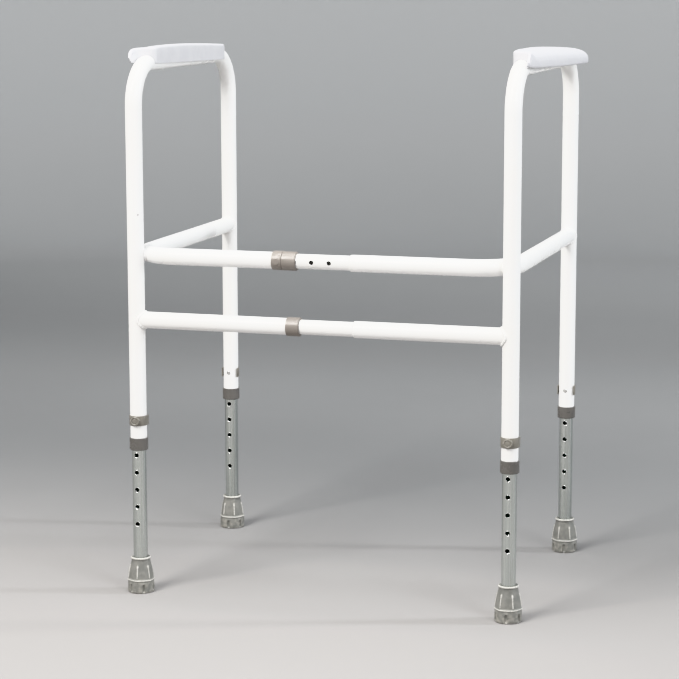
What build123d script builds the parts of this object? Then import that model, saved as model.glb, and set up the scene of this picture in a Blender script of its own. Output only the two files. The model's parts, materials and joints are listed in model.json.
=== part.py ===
from build123d import *
from math import cos, pi, sin
import os

# Toilet surround frame: two tubular side frames with armrests, two telescoping
# crossbars, and four leg extensions that lock with pin clips.
# Millimetres. +X is to the right, -Y is the crossbar side, +Z is up.
# The origin is on the floor, midway between the four feet.

# Overall layout, measured between tube centre lines
half_width = 273.0
half_depth = 200.0
arm_height = 762.0
rail_height = 492.5
lower_height = 400.0

# Main tube, and the smaller tube that telescopes inside it
tube_radius = 11.8
tube_wall = 1.2
inner_radius = 10.3
inner_wall = 1.2
arm_bend = 60.0
rail_bend = 57.0

# Adjustment holes and the pins that lock them
hole_pitch = 25.4
hole_count = 7
hole_radius = 3.2
pin_radius = 3.1
pin_height = 254.2
pin_tip = 12.2

# Collars at the open ends of the main tube
collar_radius = 13.4
collar_bottom = 210.6
leg_collar_length = 17.9
lip_length = 3.5
lip_radius = inner_radius + 0.1

# Crossbars, measured along X
upper_pin_x = -59.6
upper_collar = (-52.0, -31.8)
lower_collar = (-46.5, -27.3)
upper_swage = 44.8
lower_swage = 49.3
swage_length = 2.5
swaged_end_upper = upper_pin_x - (hole_count // 2) * hole_pitch - 5.2
swaged_end_lower = -142.0

# Leg extensions and their rubber feet
ferrule_height = 52.0
washer_bottom = 6.0
washer_thickness = 2.0
leg_top = pin_height + 40.0
rim_height = 18.8
rib_count = 8

# Clips
band_radius = 13.2
band_bore = 11.85
band_width = 14.5
band_reach = 7.0
button_radius = 6.5
button_rise = 3.0

# Armrest pads: outward distances are measured from the arm tube's centre line
pad_bottom = 757.0
pad_top = 786.0
pad_inner = -14.0
pad_front = -176.0
pad_back = 166.0
screw_offset = 90.0
screw_shank = 2.0
screw_head = 4.0
screw_top = 781.0

sides = {"left": -1, "right": 1}
ends = {"front": -1, "rear": 1}


def save(part, name):
    """Label a finished piece and write it under its node name."""
    part.label = name
    export_step(part, f"parts/{name}.step")


def ring(radius, wall):
    """The section of a tube, for the sketch that is open."""
    Circle(radius)
    Circle(radius - wall, mode=Mode.SUBTRACT)


def fore_and_aft_hole(x, z, radius, reach):
    """Drill along Y through everything between -reach and +reach."""
    with BuildSketch(Plane.XZ) as hole:
        with Locations((x, z)):
            Circle(radius)
    extrude(hole.sketch, amount=reach, both=True, mode=Mode.SUBTRACT)


def upright_notch(x, y, z):
    """Cope a tube's end to the round side of an upright."""
    with BuildSketch(Plane.XY.offset(z - 2 * tube_radius)) as notch:
        with Locations((x, y)):
            Circle(tube_radius)
    extrude(notch.sketch, amount=4 * tube_radius, mode=Mode.SUBTRACT)


def swaged_end(z, start, end):
    """Add the reduced stretch of a crossbar, from its taper to its free end."""
    axis = Axis((0, -half_depth, z), (1, 0, 0))
    big = start + swage_length
    third = swage_length / 3
    inside = tube_radius - tube_wall
    bore = inner_radius - inner_wall
    with BuildSketch(Plane.XZ.offset(half_depth)) as profile:
        with BuildLine():
            Bezier(
                (big, z + tube_radius), (big - third, z + tube_radius),
                (start + third, z + inner_radius), (start, z + inner_radius),
            )
            Polyline((start, z + inner_radius), (end, z + inner_radius), (end, z + bore), (start, z + bore))
            Bezier(
                (start, z + bore), (start + third, z + bore),
                (big - third, z + inside), (big, z + inside),
            )
            Line((big, z + inside), (big, z + tube_radius))
        make_face()
    revolve(profile.sketch, axis=axis)


def make_arm_tube(side, name):
    """An inverted U: front upright, armrest run and rear upright."""
    x = sides[side] * half_width
    foot = collar_bottom + lip_length
    with BuildPart() as arm_tube:
        with BuildLine(Plane.YZ.offset(x)) as arm_path:
            FilletPolyline(
                (-half_depth, foot), (-half_depth, arm_height), (half_depth, arm_height), (half_depth, foot),
                radius=arm_bend,
            )
        with BuildSketch(Plane(origin=(x, -half_depth, foot), z_dir=(0, 0, 1))):
            ring(tube_radius, tube_wall)
        sweep()
        fore_and_aft_hole(x, pin_height, hole_radius, half_depth + 2 * tube_radius)
        with BuildSketch(Plane.XY.offset(arm_height - 2 * tube_radius)):
            with Locations((x, -screw_offset), (x, screw_offset)):
                Circle(screw_shank + 0.15)
        extrude(amount=4 * tube_radius, mode=Mode.SUBTRACT)
    save(arm_tube.part, name)


def make_left_rail():
    """Left half of the upper crossbar and the rail behind it, one bent tube."""
    with BuildPart() as rail:
        with BuildLine(Plane.XY.offset(rail_height)):
            FilletPolyline(
                (upper_collar[1] - lip_length, -half_depth), (-half_width, -half_depth),
                (-half_width, half_depth - 1),
                radius=rail_bend,
            )
        with BuildSketch(Plane(origin=(upper_collar[1] - lip_length, -half_depth, rail_height), z_dir=(-1, 0, 0))):
            ring(tube_radius, tube_wall)
        sweep()
        upright_notch(-half_width, half_depth, rail_height)
        fore_and_aft_hole(upper_pin_x, rail_height, hole_radius, half_depth + 2 * tube_radius)
    save(rail.part, "left_rail_tube")


def make_right_rail():
    """Right half of the upper crossbar, swaged and drilled, and its rail."""
    start = upper_swage + swage_length
    with BuildPart() as rail:
        with BuildLine(Plane.XY.offset(rail_height)):
            FilletPolyline(
                (start, -half_depth), (half_width, -half_depth), (half_width, half_depth - 1),
                radius=rail_bend,
            )
        with BuildSketch(Plane(origin=(start, -half_depth, rail_height), z_dir=(1, 0, 0))):
            ring(tube_radius, tube_wall)
        sweep()
        upright_notch(half_width, half_depth, rail_height)
        swaged_end(rail_height, upper_swage, swaged_end_upper)
        for step in range(hole_count):
            x = upper_pin_x + (step - hole_count // 2) * hole_pitch
            fore_and_aft_hole(x, rail_height, hole_radius, half_depth + 2 * tube_radius)
    save(rail.part, "right_rail_tube")


def make_lower_tube(side):
    """One half of the lower crossbar, coped to the front upright."""
    sign = sides[side]
    free_end = lower_collar[1] - lip_length if side == "left" else lower_swage + swage_length
    length = half_width - 1 - abs(free_end) * (1 if free_end * sign > 0 else -1)
    with BuildPart() as lower:
        with BuildSketch(Plane(origin=(free_end, -half_depth, lower_height), z_dir=(sign, 0, 0))):
            ring(tube_radius, tube_wall)
        extrude(amount=length)
        upright_notch(sign * half_width, -half_depth, lower_height)
        if side == "right":
            swaged_end(lower_height, lower_swage, swaged_end_lower)
    save(lower.part, f"{side}_lower_tube")


def make_collar(frame, length, name):
    """A bush pressed on a tube's end. Its lip guides the smaller tube.

    The plane's Z points from the lip's face along the tube.
    """
    with BuildPart() as collar:
        with BuildSketch(frame):
            Circle(collar_radius)
            Circle(lip_radius, mode=Mode.SUBTRACT)
        extrude(amount=length)
        outer = collar.faces().filter_by(GeomType.CYLINDER).sort_by(SortBy.AREA)[-1]
        rims = outer.edges().filter_by(GeomType.CIRCLE)
        lip_end = rims.sort_by_distance(frame.origin)[0:1]
        fillet(lip_end, radius=1.6)
        far_rim = collar.edges().filter_by(GeomType.CIRCLE).sort_by_distance(frame.origin)[-1:]
        fillet(far_rim, radius=0.5)
        with BuildSketch(frame.offset(lip_length)):
            Circle(tube_radius)
        extrude(amount=length, mode=Mode.SUBTRACT)
    save(collar.part, name)


def ferrule_wall(z):
    """Outside radius of a ferrule's tapered body at a height."""
    low, high = 21.0, ferrule_height - 3.0
    return 18.2 - (18.2 - 13.3) * ((z - low) / (high - low)) ** 1.25


def make_leg(side, end):
    """A leg extension tube with its rubber ferrule and the washer inside it."""
    x = sides[side] * half_width
    y = ends[end] * half_depth
    floor = washer_bottom + washer_thickness
    with BuildPart() as leg:
        with BuildSketch(Plane(origin=(x, y, floor), z_dir=(0, 0, 1))):
            ring(inner_radius, inner_wall)
        extrude(amount=leg_top - floor)
        for step in range(hole_count):
            with BuildSketch(Plane.XZ.offset(-y)):
                with Locations((x, pin_height - step * hole_pitch)):
                    Circle(hole_radius)
            extrude(amount=2 * tube_radius, both=True, mode=Mode.SUBTRACT)
    save(leg.part, f"{side}_{end}_leg_tube")

    with BuildPart() as washer:
        with BuildSketch(Plane(origin=(x, y, washer_bottom), z_dir=(0, 0, 1))):
            Circle(inner_radius - 0.1)
            Circle(4.0, mode=Mode.SUBTRACT)
        extrude(amount=washer_thickness)
    save(washer.part, f"{side}_{end}_washer")

    with BuildPart() as ferrule:
        with BuildSketch(Plane.XZ.offset(-y)):
            with BuildLine():
                Line((x, 0), (x + 17.4, 0))
                ThreePointArc((x + 17.4, 0), (x + 18.8, 0.9), (x + 19.2, 2.6))
                Line((x + 19.2, 2.6), (x + 19.0, rim_height - 1.2))
                ThreePointArc(
                    (x + 19.0, rim_height - 1.2), (x + 20.0, rim_height), (x + 18.6, rim_height + 1.2)
                )
                Polyline(
                    (x + 18.6, rim_height + 1.2),
                    *[(x + ferrule_wall(z), z) for z in (21.0, 26.0, 31.0, 36.0, 41.0, 45.0, 49.0)],
                )
                ThreePointArc((x + 13.3, 49.0), (x + 14.3, 50.5), (x + 13.7, ferrule_height))
                Polyline((x + 13.7, ferrule_height), (x, ferrule_height), (x, 0))
            make_face()
        revolve(axis=Axis((x, y, 0), (0, 0, 1)))
        for turn in range(rib_count):
            angle = 2 * pi * turn / rib_count
            radial = Plane(
                origin=(x, y, 0), x_dir=(cos(angle), sin(angle), 0), z_dir=(sin(angle), -cos(angle), 0)
            )
            with BuildSketch(radial):
                Polygon(
                    (11.5, 21.5), (ferrule_wall(21.5) + 1.1, 21.5), (ferrule_wall(31.0) + 1.1, 31.0),
                    (ferrule_wall(41.0) + 1.0, 41.0), (ferrule_wall(44.0), 44.0), (11.5, 44.0),
                    align=None,
                )
            extrude(amount=1.3, both=True)
            with BuildSketch(radial):
                with Locations((19.6, 9.0)):
                    Rectangle(2.0, 13.0)
            extrude(amount=1.1, both=True, mode=Mode.SUBTRACT)
        with BuildSketch(Plane(origin=(x, y, washer_bottom), z_dir=(0, 0, 1))):
            Circle(inner_radius)
        extrude(amount=ferrule_height, mode=Mode.SUBTRACT)
    save(ferrule.part, f"{side}_{end}_ferrule")


def make_clip(centre, along, pull, name, has_button=True):
    """A snap band with its locking pin. It comes off in the pull direction.

    Its arms run straight past the tube, so it can leave without spreading.
    """
    centre = Vector(*centre)
    along = Vector(*along)
    pull = Vector(*pull)
    across = pull.cross(along)
    section = Plane(origin=centre, x_dir=across, z_dir=along)
    face = Plane(origin=centre, x_dir=across, z_dir=pull)
    shank_end = band_radius + button_rise - 1.6 if has_button else band_radius - 0.8
    with BuildPart() as band:
        with BuildSketch(section.offset(-band_width / 2)):
            Circle(band_radius)
            with Locations((0, -band_reach / 2)):
                Rectangle(2 * band_radius, band_reach)
            Circle(band_bore, mode=Mode.SUBTRACT)
            with Locations((0, -band_radius)):
                Rectangle(2 * band_bore, 2 * band_radius, mode=Mode.SUBTRACT)
            with Locations((0, -band_reach - band_radius)):
                Rectangle(4 * band_radius, 2 * band_radius, mode=Mode.SUBTRACT)
        extrude(amount=band_width)
        if has_button:
            with BuildSketch(face.offset(band_bore + 0.4)):
                Circle(button_radius)
            extrude(amount=band_radius - band_bore - 0.4 + button_rise)
            head = band.faces().sort_by(Axis(centre, pull))[-1]
            fillet(head.edges(), radius=0.9)
            with BuildSketch(face.offset(band_radius + button_rise - 0.7)):
                Circle(4.9)
                Circle(3.9, mode=Mode.SUBTRACT)
            extrude(amount=2.0, mode=Mode.SUBTRACT)
        else:
            with BuildSketch(face.offset(band_bore + 0.4)):
                Circle(5.0)
            extrude(amount=band_radius - band_bore)
        with BuildSketch(section.offset(-band_width)):
            Circle(band_bore)
        extrude(amount=2 * band_width, mode=Mode.SUBTRACT)
        with BuildSketch(face):
            Circle(pin_radius)
        extrude(amount=shank_end, mode=Mode.SUBTRACT)
    save(band.part, f"{name}_band")

    with BuildPart() as pin:
        with BuildSketch(face.offset(-pin_tip)):
            Circle(pin_radius)
        extrude(amount=pin_tip + shank_end)
        tip = pin.edges().filter_by(GeomType.CIRCLE).sort_by(Axis(centre, pull))[0]
        fillet(tip, radius=1.2)
    save(pin.part, f"{name}_pin")


def make_pad(side):
    """An armrest moulding that sits over the arm tube and bulges outwards."""
    sign = sides[side]
    x = sign * half_width

    def out(distance, y):
        return (x + sign * distance, y)

    with BuildPart() as pad:
        with BuildSketch(Plane.XY.offset(pad_bottom)):
            with BuildLine():
                Polyline(out(6, pad_front), out(pad_inner + 9, pad_front), out(pad_inner, pad_front + 12))
                Line(out(pad_inner, pad_front + 12), out(pad_inner, pad_back - 8))
                Polyline(out(pad_inner, pad_back - 8), out(pad_inner + 7, pad_back), out(20, pad_back))
                Spline(
                    out(20, pad_back), out(33, pad_back - 22), out(35, 80), out(31, -20), out(22, -120),
                    out(18, pad_front + 14), out(6, pad_front),
                )
            make_face()
        extrude(amount=pad_top - pad_bottom)
        crown = pad.faces().sort_by(Axis.Z)[-1]
        fillet(crown.edges(), radius=6.5)
        with BuildLine(Plane.YZ.offset(x)):
            FilletPolyline(
                (-half_depth, rail_height), (-half_depth, arm_height), (half_depth, arm_height),
                (half_depth, rail_height),
                radius=arm_bend,
            )
        with BuildSketch(Plane(origin=(x, -half_depth, rail_height), z_dir=(0, 0, 1))):
            Circle(tube_radius)
        sweep(mode=Mode.SUBTRACT)
        with BuildSketch(Plane.XY.offset(arm_height)):
            with Locations((x, -screw_offset), (x, screw_offset)):
                Circle(screw_shank)
        extrude(amount=screw_top - arm_height, mode=Mode.SUBTRACT)
    save(pad.part, f"{side}_arm_pad")

    head_top = arm_height - tube_radius
    with BuildPart() as screws:
        for y in (-screw_offset, screw_offset):
            with BuildSketch(Plane(origin=(x, y, head_top), z_dir=(0, 0, -1))):
                Circle(screw_head)
            extrude(amount=2.4, taper=18)
            with BuildSketch(Plane(origin=(x, y, head_top - 1), z_dir=(0, 0, 1))):
                Circle(screw_shank)
            extrude(amount=screw_top - head_top + 1)
            with BuildSketch(Plane(origin=(x, y, head_top - 2.4), z_dir=(0, 0, 1))):
                Rectangle(4.4, 1.0)
                Rectangle(1.0, 4.4)
            extrude(amount=1.2, mode=Mode.SUBTRACT)
    save(screws.part, f"{side}_pad_screws")


os.makedirs("parts", exist_ok=True)

for side in sides:
    make_arm_tube(side, f"{side}_arm_tube")
    make_lower_tube(side)
    make_pad(side)
    for end in ends:
        foot = Plane(
            origin=(sides[side] * half_width, ends[end] * half_depth, collar_bottom), z_dir=(0, 0, 1)
        )
        make_collar(foot, leg_collar_length, f"{side}_{end}_collar")
        make_leg(side, end)
        make_clip(
            (sides[side] * half_width, ends[end] * half_depth, pin_height), (0, 0, 1),
            (0, ends[end], 0), f"{side}_{end}_clip",
        )

make_left_rail()
make_right_rail()

upper_mouth = Plane(origin=(upper_collar[1], -half_depth, rail_height), z_dir=(-1, 0, 0))
make_collar(upper_mouth, upper_collar[1] - upper_collar[0], "upper_bar_collar")
lower_mouth = Plane(origin=(lower_collar[1], -half_depth, lower_height), z_dir=(-1, 0, 0))
make_collar(lower_mouth, lower_collar[1] - lower_collar[0], "lower_bar_collar")
make_clip(
    (upper_pin_x, -half_depth, rail_height), (1, 0, 0), (0, -1, 0), "upper_bar_clip", has_button=False
)
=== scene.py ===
import json
from math import cos, pi, radians, sin, sqrt
import bmesh
import bpy
from mathutils import Matrix, Vector


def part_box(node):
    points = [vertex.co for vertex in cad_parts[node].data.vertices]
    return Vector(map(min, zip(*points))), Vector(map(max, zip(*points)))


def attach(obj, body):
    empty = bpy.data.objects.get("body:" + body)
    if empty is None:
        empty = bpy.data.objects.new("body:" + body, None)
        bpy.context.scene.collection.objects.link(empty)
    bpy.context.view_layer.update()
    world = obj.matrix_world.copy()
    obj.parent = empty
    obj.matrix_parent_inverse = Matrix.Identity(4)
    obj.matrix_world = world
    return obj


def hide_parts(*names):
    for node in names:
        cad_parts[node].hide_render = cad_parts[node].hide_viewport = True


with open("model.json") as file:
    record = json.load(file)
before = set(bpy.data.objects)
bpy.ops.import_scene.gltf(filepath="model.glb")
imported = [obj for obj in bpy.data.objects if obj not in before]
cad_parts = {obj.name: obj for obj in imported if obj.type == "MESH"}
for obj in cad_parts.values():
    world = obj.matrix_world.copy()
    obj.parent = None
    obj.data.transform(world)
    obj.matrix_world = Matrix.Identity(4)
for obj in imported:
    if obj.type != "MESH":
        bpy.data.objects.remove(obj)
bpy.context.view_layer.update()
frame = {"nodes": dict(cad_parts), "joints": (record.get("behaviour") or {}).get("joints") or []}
nodes = frame["nodes"]
scene = bpy.context.scene
sides = {"left": -1, "right": 1}
ends = ("front", "rear")
up = Vector((0, 0, 1))


# small helpers for node trees

def addNode(tree, kind, sockets=None, **settings):
    made = tree.nodes.new(kind)
    count = len(tree.nodes)
    made.location = (200 * (count % 10), -280 * (count // 10))
    for name, value in settings.items():
        setattr(made, name, value)
    for name, value in (sockets or {}).items():
        if isinstance(value, bpy.types.NodeSocket):
            tree.links.new(value, made.inputs[name])
        else:
            made.inputs[name].default_value = value
    return made


def calc(tree, operation, a, b=0.0, clamp=False):
    return addNode(tree, "ShaderNodeMath", {0: a, 1: b}, operation=operation, use_clamp=clamp).outputs[0]


def times(tree, a, b, clamp=False):
    return calc(tree, "MULTIPLY", a, b, clamp)


def plus(tree, a, b):
    return calc(tree, "ADD", a, b)


def minus(tree, a, b):
    return calc(tree, "SUBTRACT", a, b)


def remap(tree, value, fromMin, fromMax, toMin=0.0, toMax=1.0, smooth=True):
    sockets = {"Value": value, "From Min": fromMin, "From Max": fromMax, "To Min": toMin, "To Max": toMax}
    kind = "SMOOTHSTEP" if smooth else "LINEAR"
    return addNode(tree, "ShaderNodeMapRange", sockets, interpolation_type=kind).outputs[0]


def mixColour(tree, factor, a, b, mode="MIX"):
    return addNode(tree, "ShaderNodeMix", {0: factor, 6: a, 7: b}, data_type="RGBA", blend_type=mode).outputs[2]


socketKinds = {bool: "Bool", int: "Int", float: "Float", tuple: "Vector"}


def newTree(name, kind, inputs, outputs):
    # an input is given by its starting value, or by its kind where it needs none
    tree = bpy.data.node_groups.new(name, kind)
    for label, value in inputs.items():
        word = value if isinstance(value, str) else socketKinds[type(value)]
        socket = tree.interface.new_socket(label, in_out="INPUT", socket_type="NodeSocket" + word)
        if word != value:
            socket.default_value = value
    for label, word in outputs.items():
        tree.interface.new_socket(label, in_out="OUTPUT", socket_type="NodeSocket" + word)
    return tree, tree.nodes.new("NodeGroupInput").outputs, tree.nodes.new("NodeGroupOutput").inputs


def formTree(name, inputs):
    inputs = {"Geometry": "Geometry", **inputs, "Material": "Material"}
    return newTree(name, "GeometryNodeTree", inputs, {"Geometry": "Geometry"})


def endForm(tree, given, result, geometry):
    plain = addNode(tree, "GeometryNodeRealizeInstances", {"Geometry": geometry}).outputs[0]
    coated = addNode(tree, "GeometryNodeSetMaterial", {"Geometry": plain, "Material": given["Material"]})
    tree.links.new(coated.outputs[0], result["Geometry"])
    return tree


# camera, lights and the pale cove

view = {"place": (0.937, -3.218, 0.913), "yaw": 0.2922, "pitch": 0.166, "roll": -0.0018, "lens": 121.7}
cameraData = bpy.data.cameras.new("camera")
cameraData.lens = view["lens"]
cameraData.sensor_width = 36
cameraData.clip_end = 60
camera = bpy.data.objects.new("camera", cameraData)
camera.matrix_world = (
    Matrix.Translation(view["place"]) @ Matrix.Rotation(view["yaw"], 4, "Z")
    @ Matrix.Rotation(pi / 2 - view["pitch"], 4, "X") @ Matrix.Rotation(view["roll"], 4, "Z")
)
scene.collection.objects.link(camera)
scene.camera = camera
scene.view_settings.view_transform = "Khronos PBR Neutral"

room = {"colour": (0.93, 0.96, 1.0), "strength": 0.2}
lights = {
    "left box": {"place": (-1.3, -2.5, 3.1), "size": (1.3, 1.5), "watts": 192, "colour": (1.0, 0.985, 0.96)},
    "right box": {"place": (2.4, -2.0, 2.6), "size": (1.1, 1.5), "watts": 50, "colour": (0.95, 0.975, 1.0)},
    "right strip": {"place": (3.7, 0.95, 1.7), "size": (0.3, 1.8), "watts": 110, "colour": (0.95, 0.975, 1.0)},
    "overhead": {"place": (-0.1, -0.5, 3.2), "size": (1.7, 1.5), "watts": 94, "aim": (0, -0.1, 0)},
}

world = bpy.data.worlds.new("room light")
world.use_nodes = True
world.node_tree.nodes["Background"].inputs["Color"].default_value = (*room["colour"], 1)
world.node_tree.nodes["Background"].inputs["Strength"].default_value = room["strength"]
scene.world = world


def softBox(name, place, size, watts, aim=(0, 0, 0.45), colour=(1, 1, 1)):
    lamp = bpy.data.lights.new(name, "AREA")
    lamp.shape = "RECTANGLE"
    lamp.size, lamp.size_y = size
    lamp.energy = watts
    lamp.color = colour
    box = bpy.data.objects.new(name, lamp)
    direction = Vector(aim) - Vector(place)
    box.matrix_world = Matrix.Translation(place) @ direction.to_track_quat("-Z", "Y").to_matrix().to_4x4()
    scene.collection.objects.link(box)


for name, values in lights.items():
    softBox(name, **values)

cove = {
    "rings": (0.0, 0.6, 1.2, 2.4), "floorRadius": 3.6, "sweepRadius": 1.0, "height": 5.5, "steps": 14, "sides": 128,
}


def makeCove():
    outline = [(ring, 0.0) for ring in cove["rings"]]
    sweep = cove["sweepRadius"]
    for step in range(cove["steps"] + 1):
        turn = step / cove["steps"] * pi / 2
        outline.append((cove["floorRadius"] + sweep * sin(turn), sweep - sweep * cos(turn)))
    outline.append((cove["floorRadius"] + sweep, cove["height"]))
    shape = bmesh.new()
    verts = [shape.verts.new((r, 0, z)) for r, z in outline]
    edges = [shape.edges.new(pair) for pair in zip(verts, verts[1:])]
    bmesh.ops.spin(shape, geom=verts + edges, cent=(0, 0, 0), axis=(0, 0, 1), angle=2 * pi, steps=cove["sides"])
    bmesh.ops.remove_doubles(shape, verts=shape.verts, dist=0.0001)
    bmesh.ops.recalc_face_normals(shape, faces=shape.faces)
    mesh = bpy.data.meshes.new("cove")
    shape.to_mesh(mesh)
    shape.free()
    if mesh.polygons[0].normal.z < 0:
        mesh.flip_normals()
    mesh.shade_smooth()
    floor = bpy.data.objects.new("cove", mesh)
    scene.collection.objects.link(floor)
    return floor


floor = makeCove()
print("camera, lights and cove placed")


# shader groups that several finishes share

def shaderTree(name, inputs, outputs):
    return newTree(name, "ShaderNodeTree", inputs, outputs)


def noiseAt(tree, size, detail=2.0, stretch=None, rough=0.5):
    place = addNode(tree, "ShaderNodeTexCoord").outputs["Object"]
    if stretch is not None:
        place = addNode(tree, "ShaderNodeVectorMath", {0: place, 1: stretch}, operation="MULTIPLY").outputs[0]
    scale = calc(tree, "DIVIDE", 1.0, size)
    sockets = {"Vector": place, "Scale": scale, "Detail": detail, "Roughness": rough}
    return addNode(tree, "ShaderNodeTexNoise", sockets).outputs["Fac"]


def makeGrain():
    tree, given, result = shaderTree(
        "fine grain", {"Size": 0.001, "Detail": 2.0}, {"Height": "Float"},
    )
    tree.links.new(noiseAt(tree, given["Size"], given["Detail"]), result["Height"])
    return tree


def makeDrift():
    tree, given, result = shaderTree(
        "tone drift", {"Colour": "Color", "Second Colour": "Color", "Size": 0.1, "Amount": 0.5},
        {"Colour": "Color", "Mask": "Float"},
    )
    mask = remap(tree, noiseAt(tree, given["Size"], 4.0), 0.35, 0.65)
    mask = times(tree, mask, given["Amount"])
    tree.links.new(mixColour(tree, mask, given["Colour"], given["Second Colour"]), result["Colour"])
    tree.links.new(mask, result["Mask"])
    return tree


def makeStreaks():
    tree, given, result = shaderTree(
        "drawn streaks", {"Width": 0.0008, "Stretch": (1, 1, 0.01)}, {"Streak": "Float"},
    )
    fine = noiseAt(tree, given["Width"], 3.0, given["Stretch"])
    tree.links.new(remap(tree, fine, 0.3, 0.7), result["Streak"])
    return tree


# lightens the marked edges: on the clip buttons this is wear, on the ferrules' ribs and rims wear and a painted
# highlight, on the rims of the leg holes a painted highlight
def makeWearAndHighlight():
    tree, given, result = shaderTree(
        "edge wear and painted highlight", {"Colour": "Color", "Wear And Highlight Colour": "Color", "Break Up": 0.004, "Amount": 0.7},
        {"Colour": "Color", "Mask": "Float"},
    )
    edge = addNode(tree, "ShaderNodeAttribute", attribute_name="edgeWearAndHighlight").outputs["Fac"]
    patch = remap(tree, noiseAt(tree, given["Break Up"], 3.0), 0.25, 0.6, 0.35, 1.0)
    mask = times(tree, times(tree, edge, patch), given["Amount"], clamp=True)
    tree.links.new(mixColour(tree, mask, given["Colour"], given["Wear And Highlight Colour"]), result["Colour"])
    tree.links.new(mask, result["Mask"])
    return tree


dustPatch = 0.006  # size of a patch of dust in metres


def makeDust():
    tree, given, result = shaderTree(
        "floor dust", {"Colour": "Color", "Dust Colour": "Color", "Reach": 0.05, "Amount": 0.3},
        {"Colour": "Color", "Mask": "Float"},
    )
    place = addNode(tree, "ShaderNodeTexCoord").outputs["Object"]
    height = addNode(tree, "ShaderNodeSeparateXYZ", {0: place}).outputs["Z"]
    near = remap(tree, height, given["Reach"], 0.0)
    patch = remap(tree, noiseAt(tree, dustPatch, 4.0), 0.4, 0.7)
    mask = times(tree, times(tree, near, patch), given["Amount"], clamp=True)
    tree.links.new(mixColour(tree, mask, given["Colour"], given["Dust Colour"]), result["Colour"])
    tree.links.new(mask, result["Mask"])
    return tree


grain = makeGrain()
drift = makeDrift()
streaks = makeStreaks()
rub = makeWearAndHighlight()
dust = makeDust()


def useGroup(tree, group, sockets):
    return addNode(tree, "ShaderNodeGroup", sockets, node_tree=group)


def rgba(colour):
    return (*colour, 1)


def newFinish(name, colour, **shaderValues):
    material = bpy.data.materials.new(name)
    material.use_nodes = True
    material.diffuse_color = rgba(colour)
    tree = material.node_tree
    shader = tree.nodes["Principled BSDF"]
    for socket, value in shaderValues.items():
        shader.inputs[socket.replace("_", " ")].default_value = value
    return material, tree, shader


def addBump(tree, shader, height, strength, distance):
    bump = addNode(tree, "ShaderNodeBump", {"Height": height, "Strength": strength, "Distance": distance})
    tree.links.new(bump.outputs["Normal"], shader.inputs["Normal"])


# a finish's values: drift is (patch size, amount), the edge lightening for wear and painted highlight (break up,
# amount), dust (reach, amount), roughness (low, high) and grain (size, detail, bump strength, bump distance)

def drifted(tree, values, colour=None):
    size, amount = values["drift"]
    if colour is None:
        colour = rgba(values["colour"])
    return useGroup(tree, drift, {
        "Colour": colour, "Second Colour": rgba(values["second"]), "Size": size, "Amount": amount,
    }).outputs


def wornAndHighlit(tree, values, colour):
    breakUp, amount = values["rub"]
    return useGroup(tree, rub, {
        "Colour": colour, "Wear And Highlight Colour": rgba(values["wornAndHighlit"]), "Break Up": breakUp, "Amount": amount,
    }).outputs


def dusted(tree, values, colour):
    reach, amount = values["dust"]
    return useGroup(tree, dust, {
        "Colour": colour, "Dust Colour": rgba(values["dustColour"]), "Reach": reach, "Amount": amount,
    }).outputs


def setColour(tree, shader, colour):
    tree.links.new(colour, shader.inputs["Base Color"])


def setGloss(tree, shader, mask, full, values):
    low, high = values["roughness"]
    tree.links.new(remap(tree, mask, 0.0, full, low, high), shader.inputs["Roughness"])


def setGrain(tree, shader, values):
    size, detail, strength, distance = values["grain"]
    fine = useGroup(tree, grain, {"Size": size, "Detail": detail})
    addBump(tree, shader, fine.outputs["Height"], strength, distance)


enamel = {
    "colour": (0.86, 0.862, 0.858), "second": (0.84, 0.835, 0.815), "drift": (0.12, 0.6), "roughness": (0.2, 0.3),
    "grain": (0.0022, 1.0, 0.12, 0.0003),
}


def makeEnamel():
    material, tree, shader = newFinish("white enamel", enamel["colour"], IOR=1.5)
    tone = drifted(tree, enamel)
    setColour(tree, shader, tone["Colour"])
    setGloss(tree, shader, tone["Mask"], enamel["drift"][1], enamel)
    setGrain(tree, shader, enamel)
    return material


plastics = {
    "bar": {
        "colour": (0.21, 0.19, 0.172), "second": (0.235, 0.215, 0.196), "wornAndHighlit": (0.5, 0.47, 0.43),
        "roughness": (0.3, 0.42), "grain": (0.0007, 3.0, 0.1, 0.0002),
    },
    "clip": {
        "colour": (0.18, 0.17, 0.15), "second": (0.205, 0.195, 0.172), "wornAndHighlit": (0.5, 0.47, 0.43),
        "roughness": (0.3, 0.42), "grain": (0.0007, 3.0, 0.1, 0.0002),
    },
    # the leg collars' plastic is the clips' plastic painted darker: painted shade
    "collar": {
        "colour": (0.112, 0.108, 0.102), "second": (0.134, 0.127, 0.12), "wornAndHighlit": (0.42, 0.4, 0.37),
        "roughness": (0.26, 0.38), "grain": (0.0007, 3.0, 0.1, 0.0002),
    },
    "armrest": {
        "colour": (0.57, 0.57, 0.585), "second": (0.54, 0.54, 0.56), "wornAndHighlit": (0.72, 0.71, 0.69),
        "roughness": (0.36, 0.46), "grain": (0.0012, 3.0, 0.14, 0.0002),
    },
}


def makePlastic(kind):
    values = {"drift": (0.03, 0.8), "rub": (0.003, 0.5), **plastics[kind]}
    material, tree, shader = newFinish(f"{kind} plastic", values["colour"], IOR=1.49)
    tone = drifted(tree, values)
    setColour(tree, shader, wornAndHighlit(tree, values, tone["Colour"])["Colour"])
    setGloss(tree, shader, tone["Mask"], values["drift"][1], values)
    setGrain(tree, shader, values)
    return material


# the near-white edge colour is a painted highlight on the rolled rims of the leg holes
aluminium = {
    "colour": (0.46, 0.49, 0.475), "bright": (0.66, 0.69, 0.67), "roughness": (0.2, 0.3),
    "fine": {"Width": 0.0009, "Stretch": (1, 1, 0.006)}, "broad": {"Width": 0.004, "Stretch": (1, 1, 0.02)},
    "fineShare": 0.6, "bump": (0.15, 0.00008), "wornAndHighlit": (0.93, 0.93, 0.92), "rub": (0.004, 1.0),
    "dustColour": (0.5, 0.48, 0.42), "dust": (0.11, 0.25),
}


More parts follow.
